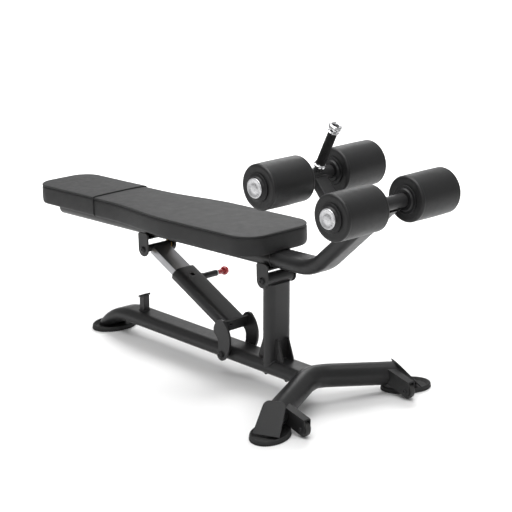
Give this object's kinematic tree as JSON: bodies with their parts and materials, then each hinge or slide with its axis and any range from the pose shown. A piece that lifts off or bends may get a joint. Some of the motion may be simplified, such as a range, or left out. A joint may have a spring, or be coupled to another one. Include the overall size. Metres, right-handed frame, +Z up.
{
  "type": "adjustable weight bench",
  "caption": "Long padded bench on a tilting tube frame with a telescopic decline strut, paired foam leg rollers and a grip handle.",
  "frame": {"origin": "on the floor, under the middle of the bench's bounding box", "axes": "+X along the bench towards the leg rollers, +Y to the left where the pull pin stands, +Z up"},
  "size_m": [1.6911, 0.7704, 0.9161],
  "materials": {
    "frame_paint": "satin",
    "foot_rubber": "matte",
    "cap_rubber": "matte",
    "bolt_black": "satin",
    "pin_steel": "satin",
    "pad_vinyl": "satin",
    "cover_vinyl": "satin",
    "board_wood": "matte",
    "plug_plastic": "matte",
    "grip_rubber": "matte",
    "handle_chrome": "polished",
    "wheel_rubber": "matte",
    "roller_foam": "satin",
    "hub_plastic": "satin",
    "cap_silver": "satin",
    "guide_nylon": "matte",
    "barrel_black": "satin",
    "strut_steel": "satin",
    "knob_red": "gloss"
  },
  "bodies": {
    "base": {"spine_tube": "frame_paint", "front_leg_tube": "frame_paint", "upright_post": "frame_paint", "post_gusset_front_left": "frame_paint", "post_gusset_front_right": "frame_paint", "post_gusset_rear_left": "frame_paint", "post_gusset_rear_right": "frame_paint", "pivot_housing": "frame_paint", "rear_foot": "foot_rubber", "front_foot_left": "foot_rubber", "front_foot_right": "foot_rubber", "leg_end_plate_left": "frame_paint", "leg_end_plate_right": "frame_paint", "wheel_bracket_left": "frame_paint", "wheel_bracket_right": "frame_paint", "wheel_pin_left": "pin_steel", "wheel_pin_right": "pin_steel", "bumper_post": "frame_paint", "bumper_cap": "cap_rubber", "post_bolt_front": "bolt_black", "post_bolt_rear": "bolt_black", "strut_foot_pin": "bolt_black"},
    "carriage": {"cushion": "pad_vinyl", "head_cover": "cover_vinyl", "cushion_board": "board_wood", "pad_backbone": "frame_paint", "backbone_plug": "plug_plastic", "roller_arm": "frame_paint", "pivot_bracket": "frame_paint", "strut_bracket": "frame_paint", "seat_pivot_pin": "bolt_black", "strut_top_pin": "bolt_black", "knee_post": "frame_paint", "knee_axle": "frame_paint", "ankle_axle": "frame_paint", "handle_tube": "frame_paint", "handle_grip": "grip_rubber", "handle_collar": "handle_chrome", "handle_end_ring": "handle_chrome", "handle_plug": "plug_plastic"},
    "wheel_left": {"wheel_left": "wheel_rubber"},
    "wheel_right": {"wheel_right": "wheel_rubber"},
    "knee_roller_left": {"knee_roller_left_foam": "roller_foam", "knee_roller_left_hub": "hub_plastic", "knee_roller_left_cap": "cap_silver"},
    "knee_roller_right": {"knee_roller_right_foam": "roller_foam", "knee_roller_right_hub": "hub_plastic", "knee_roller_right_cap": "cap_silver"},
    "ankle_roller_left": {"ankle_roller_left_foam": "roller_foam", "ankle_roller_left_hub": "hub_plastic", "ankle_roller_left_cap": "cap_silver"},
    "ankle_roller_right": {"ankle_roller_right_foam": "roller_foam", "ankle_roller_right_hub": "hub_plastic", "ankle_roller_right_cap": "cap_silver"},
    "strut_lower": {"strut_sleeve": "frame_paint", "strut_yoke": "frame_paint", "sleeve_guide": "guide_nylon", "pull_pin_barrel": "barrel_black"},
    "strut_upper": {"strut_inner_tube": "strut_steel"},
    "pull_pin": {"pull_knob": "knob_red"}
  },
  "joints": [
    {"name": "pad_tilt", "type": "hinge", "parent": "base", "child": "carriage", "pos_m": [0.296, 0, 0.373], "axis": [0, -1, 0], "range_deg": [0, 19]},
    {"name": "strut_swing", "type": "hinge", "parent": "base", "child": "strut_lower", "pos_m": [0.101, 0, 0.075], "axis": [0, -1, 0], "range_deg": [0, 24]},
    {"name": "strut_slide", "type": "slide", "parent": "strut_lower", "child": "strut_upper", "axis": [0.9023, 0, -0.4311], "range_m": [0, 0.1195]},
    {"name": "pull_pin_pull", "type": "slide", "parent": "strut_lower", "child": "pull_pin", "axis": [0, 1, 0], "range_m": [0, 0.01], "stiffness_N_per_m": 1500, "springref_m": -0.004},
    {"name": "knee_roller_left_spin", "type": "hinge", "parent": "carriage", "child": "knee_roller_left", "pos_m": [0.46902, 0, 0.74195], "axis": [0, 1, 0], "continuous": true},
    {"name": "knee_roller_right_spin", "type": "hinge", "parent": "carriage", "child": "knee_roller_right", "pos_m": [0.46902, 0, 0.74195], "axis": [0, 1, 0], "continuous": true},
    {"name": "ankle_roller_left_spin", "type": "hinge", "parent": "carriage", "child": "ankle_roller_left", "pos_m": [0.7745, 0, 0.708], "axis": [0, 1, 0], "continuous": true},
    {"name": "ankle_roller_right_spin", "type": "hinge", "parent": "carriage", "child": "ankle_roller_right", "pos_m": [0.7745, 0, 0.708], "axis": [0, 1, 0], "continuous": true},
    {"name": "wheel_left_spin", "type": "hinge", "parent": "base", "child": "wheel_left", "pos_m": [0.66, 0.233, 0.027], "axis": [0, 1, 0], "continuous": true},
    {"name": "wheel_right_spin", "type": "hinge", "parent": "base", "child": "wheel_right", "pos_m": [0.66, -0.233, 0.027], "axis": [0, 1, 0], "continuous": true}
  ],
  "couplings": [
    {"joint": "strut_swing", "follows": "pad_tilt", "ratio": 1.2465},
    {"joint": "strut_slide", "follows": "pad_tilt", "m_per_rad": 0.3558}
  ]
}
